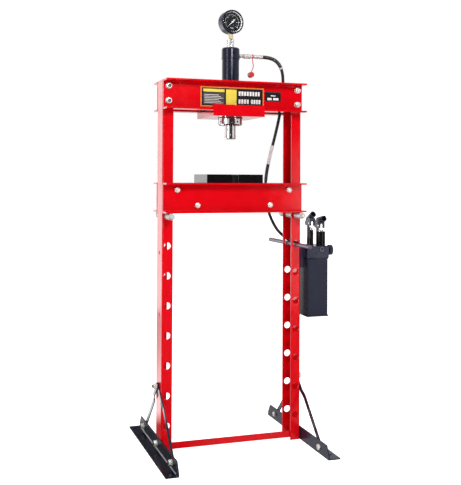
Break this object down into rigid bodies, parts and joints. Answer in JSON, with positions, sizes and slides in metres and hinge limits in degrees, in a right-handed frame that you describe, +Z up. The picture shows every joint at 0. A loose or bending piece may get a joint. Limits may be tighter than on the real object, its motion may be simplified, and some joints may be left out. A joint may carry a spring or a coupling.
{
  "type": "hydraulic shop press",
  "caption": "H-frame hydraulic shop press with a head-mounted ram and gauge, a pinned height-adjustable bed, arbor plates and a side-mounted hand pump.",
  "frame": {"origin": "on the floor, midway between the posts", "axes": "+Z up, +X towards the pump, +Y from the front to the back"},
  "size_m": [0.7325, 0.604, 1.65],
  "materials": {
    "red_paint": "gloss red powder coat",
    "black_paint": "satin black paint",
    "zinc": "bright zinc plating",
    "chrome": "polished chrome plating",
    "steel": "bare drawn steel",
    "black_plate": "blackened steel",
    "gloss_black": "gloss black enamel",
    "brass": "turned brass",
    "dial_black": "matt black dial",
    "needle_white": "white paint",
    "glass": "clear glass",
    "rubber": "black rubber",
    "red_plastic": "soft red plastic"
  },
  "bodies": {
    "frame": {"left_post": "red_paint", "right_post": "red_paint", "front_head_channel": "red_paint", "rear_head_channel": "red_paint", "base_crossbar": "red_paint", "ram_cradle": "red_paint", "head_fasteners": "zinc", "foot_fasteners": "zinc", "bracket_fasteners": "zinc", "left_foot": "black_paint", "right_foot": "black_paint", "left_front_brace": "black_paint", "left_rear_brace": "black_paint", "right_front_brace": "black_paint", "right_rear_brace": "black_paint", "pump_bracket": "black_paint", "left_bed_pin": "steel", "right_bed_pin": "steel", "pump_handle": "steel", "cylinder_barrel": "gloss_black", "ring_nut": "chrome", "ring_washer": "steel", "return_spring": "steel", "gauge_adapter": "chrome", "gauge_stem": "brass", "gauge_case": "gloss_black", "gauge_movement": "brass", "gauge_dial": "dial_black", "gauge_lens": "glass", "gauge_bezel": "gloss_black", "port_nipple": "chrome", "quick_coupler": "chrome", "strap_ring": "red_plastic", "hose_ferrules": "chrome", "hose": "rubber", "pump_elbow": "chrome", "cap_lanyard": "red_plastic", "dust_cap": "red_plastic", "pump_tank": "black_paint", "pump_gasket": "rubber", "pump_body": "black_paint", "pump_plugs": "black_paint", "plunger_barrels": "black_paint", "fulcrums": "black_paint"},
    "ram": {"ram": "chrome", "piston": "steel", "piston_seal": "rubber"},
    "bed": {"front_bed_channel": "red_paint", "rear_bed_channel": "red_paint", "bed_spacers": "zinc", "tie_fasteners": "zinc", "left_arbor_plate": "black_plate", "right_arbor_plate": "black_plate"},
    "needle": {"gauge_needle": "needle_white"},
    "knob": {"release_knob": "black_paint"},
    "thin_lever": {"thin_lever_socket": "black_paint"},
    "thin_plunger": {"thin_plunger": "chrome"},
    "thick_lever": {"thick_lever_socket": "black_paint"},
    "thick_plunger": {"thick_plunger": "chrome"}
  },
  "joints": [
    {"name": "ram_slide", "type": "slide", "parent": "frame", "child": "ram", "axis": [0, 0, -1], "range_m": [0, 0.1], "stiffness_N_per_m": 2000, "springref_m": -0.05, "deforming": ["return_spring"]},
    {"name": "bed_lift", "type": "slide", "parent": "frame", "child": "bed", "axis": [0, 0, 1], "range_m": [0, 0.03]},
    {"name": "needle_turn", "type": "hinge", "parent": "frame", "child": "needle", "pos_m": [0, 0, 1.604], "axis": [-0.1392, 0.9903, 0], "range_deg": [0, 270], "stiffness_Nm_per_rad": 0.001, "springref_deg": -11.46},
    {"name": "knob_turn", "type": "hinge", "parent": "frame", "child": "knob", "pos_m": [0.4, -0.035, 0.727], "axis": [1, 0, 0], "range_deg": [0, 270]},
    {"name": "thin_lever_turn", "type": "hinge", "parent": "frame", "child": "thin_lever", "pos_m": [0.331, 0.008, 0.832], "axis": [-1, 0, 0], "range_deg": [0, 25]},
    {"name": "thin_plunger_slide", "type": "slide", "parent": "frame", "child": "thin_plunger", "axis": [0, 0, 1], "range_m": [0, 0.0135]},
    {"name": "thick_lever_turn", "type": "hinge", "parent": "frame", "child": "thick_lever", "pos_m": [0.371, 0.008, 0.822], "axis": [-1, 0, 0], "range_deg": [0, 25]},
    {"name": "thick_plunger_slide", "type": "slide", "parent": "frame", "child": "thick_plunger", "axis": [0, 0, 1], "range_m": [0, 0.0135]}
  ],
  "couplings": [
    {"joint": "thin_plunger_slide", "follows": "thin_lever_turn", "m_per_rad": 0.0295},
    {"joint": "thick_plunger_slide", "follows": "thick_lever_turn", "m_per_rad": 0.0295}
  ]
}
